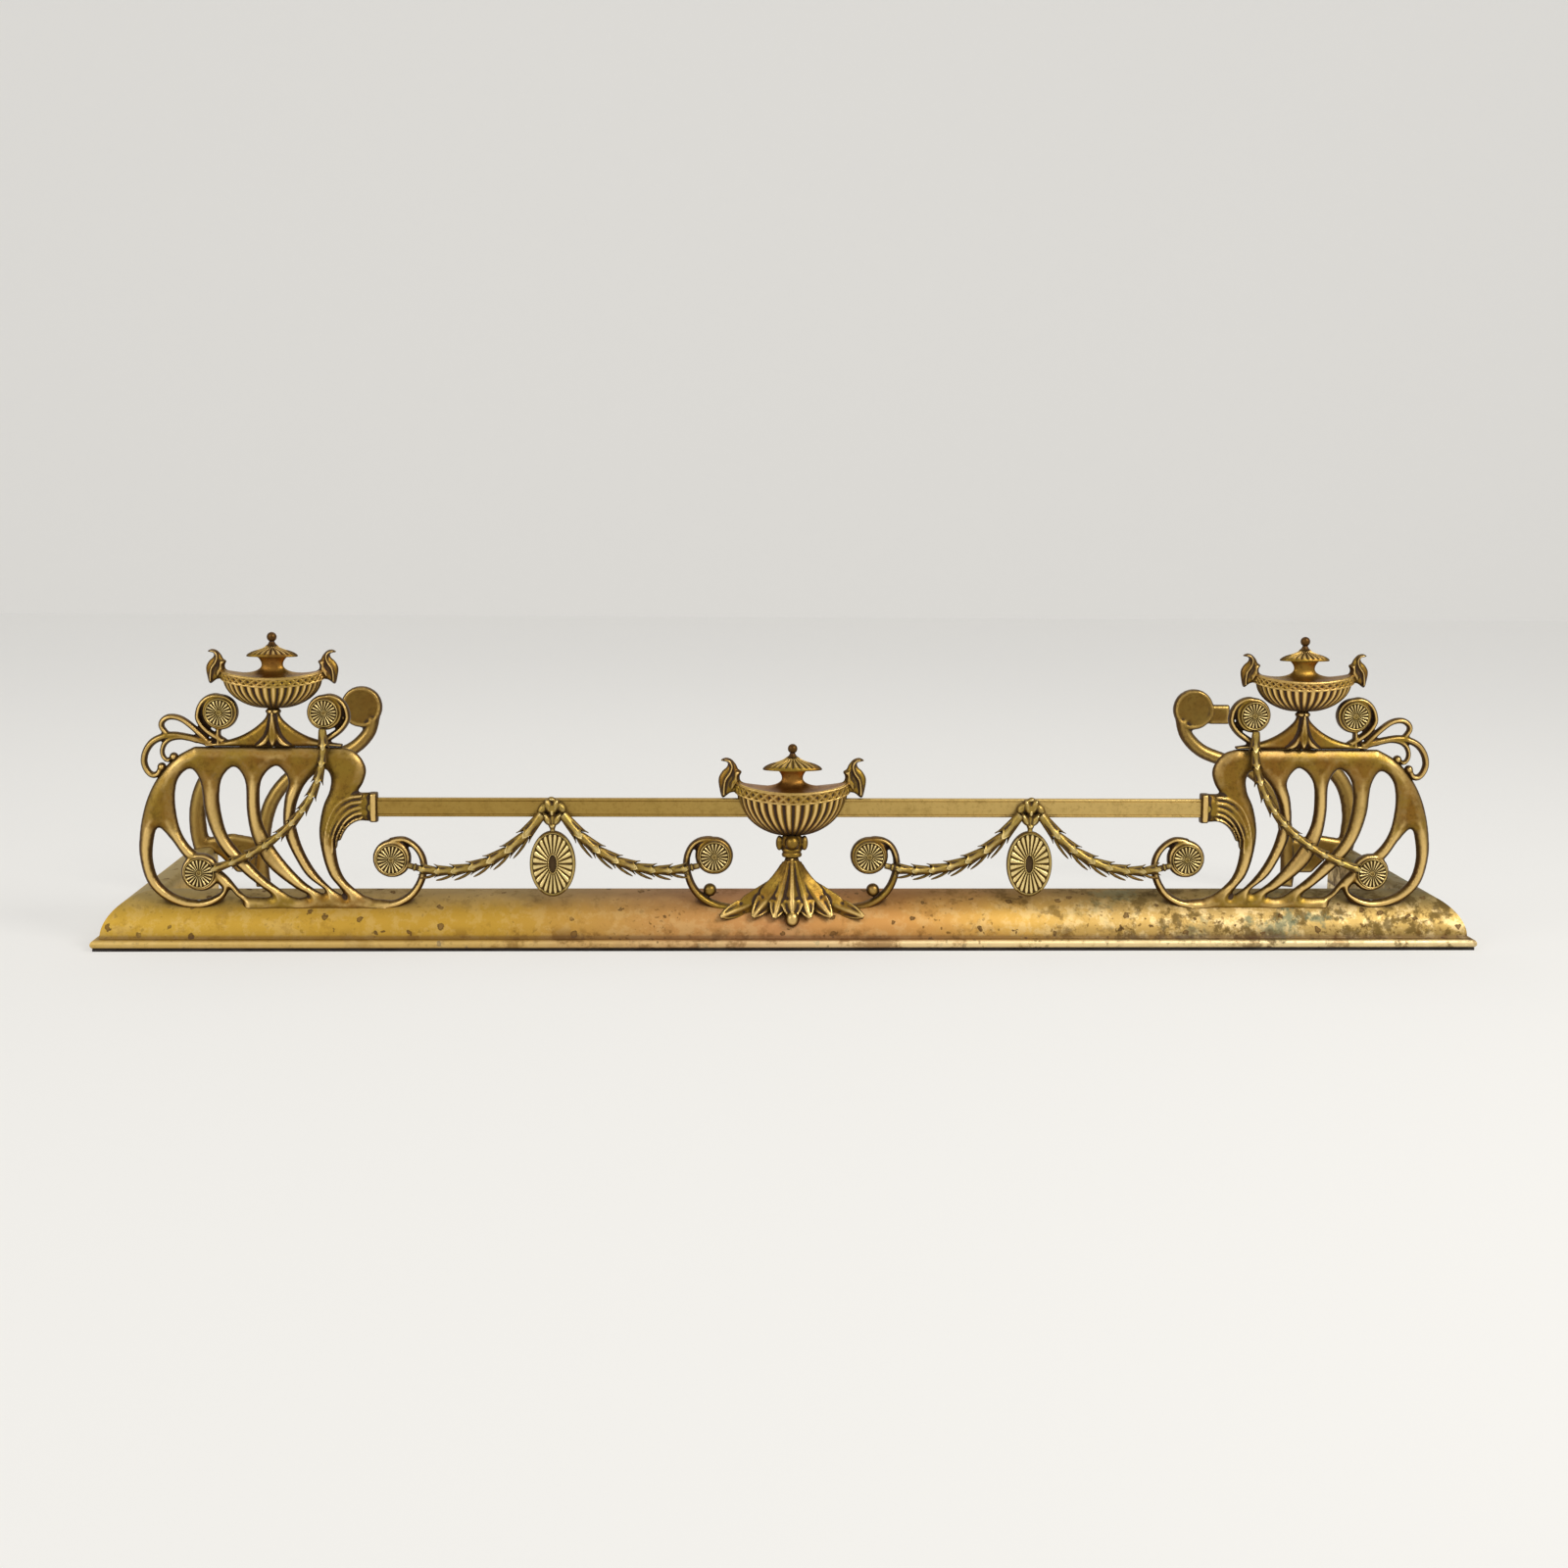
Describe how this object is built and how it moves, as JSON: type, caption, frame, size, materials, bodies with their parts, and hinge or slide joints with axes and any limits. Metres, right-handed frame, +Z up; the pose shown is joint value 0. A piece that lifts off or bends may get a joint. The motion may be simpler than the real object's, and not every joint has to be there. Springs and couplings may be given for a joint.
{
  "type": "fire fender",
  "caption": "Free-standing brass fire fender: hollow kerb with mitred returns, openwork scroll panels with urns, and a rail hung with husk swags and oval paterae.",
  "frame": {"origin": "on the hearth, below the middle of the whole fender's box", "axes": "+Z up, +X along the rail to the right seen from the room, front faces -Y"},
  "size_m": [1.37, 0.33, 0.3106],
  "materials": {
    "kerb_brass": "aged pressed brass sheet, golden with coppery and dark spots",
    "cast_brass": "antique cast brass, brown in the hollows and bright on worn edges",
    "ornament_brass": "cast brass, a little brighter than the panels",
    "rail_brass": "dull flat bar brass",
    "bracket_brass": "dark brown aged cast brass",
    "frame_iron": "black iron strip",
    "fixing_steel": "dull steel"
  },
  "bodies": {
    "root": {"kerb_front": "kerb_brass", "kerb_return_left": "kerb_brass", "kerb_return_right": "kerb_brass", "base_front": "frame_iron", "base_left": "frame_iron", "base_right": "frame_iron", "corner_plates": "fixing_steel", "corner_screws": "fixing_steel", "fixing_studs": "fixing_steel", "fixing_nuts": "fixing_steel", "panel_left": "cast_brass", "panel_right": "cast_brass", "crest_left": "cast_brass", "crest_right": "cast_brass", "bowl_left": "cast_brass", "bowl_right": "cast_brass", "bowl_centre": "cast_brass", "lid_left": "cast_brass", "lid_right": "cast_brass", "lid_centre": "cast_brass", "finial_left": "cast_brass", "finial_right": "cast_brass", "finial_centre": "cast_brass", "rod_left": "fixing_steel", "rod_right": "fixing_steel", "rod_centre": "fixing_steel", "handles_left": "cast_brass", "handles_right": "cast_brass", "handles_centre": "cast_brass", "centre_bracket": "cast_brass", "knop_centre": "cast_brass", "rosette_panel_left": "ornament_brass", "rosette_panel_right": "ornament_brass", "rosette_crest_outer_left": "ornament_brass", "rosette_crest_outer_right": "ornament_brass", "rosette_crest_inner_left": "ornament_brass", "rosette_crest_inner_right": "ornament_brass", "rosette_scroll_left": "ornament_brass", "rosette_scroll_right": "ornament_brass", "rosette_centre_left": "ornament_brass", "rosette_centre_right": "ornament_brass", "rivets": "ornament_brass", "garland_left": "ornament_brass", "garland_right": "ornament_brass", "swag_outer_left": "ornament_brass", "swag_outer_right": "ornament_brass", "swag_inner_left": "ornament_brass", "swag_inner_right": "ornament_brass", "bow_left": "ornament_brass", "bow_right": "ornament_brass", "patera_left": "ornament_brass", "patera_right": "ornament_brass", "rail": "rail_brass", "rail_pins": "ornament_brass", "rear_bracket_left": "bracket_brass", "rear_bracket_right": "bracket_brass"}
  },
  "joints": []
}
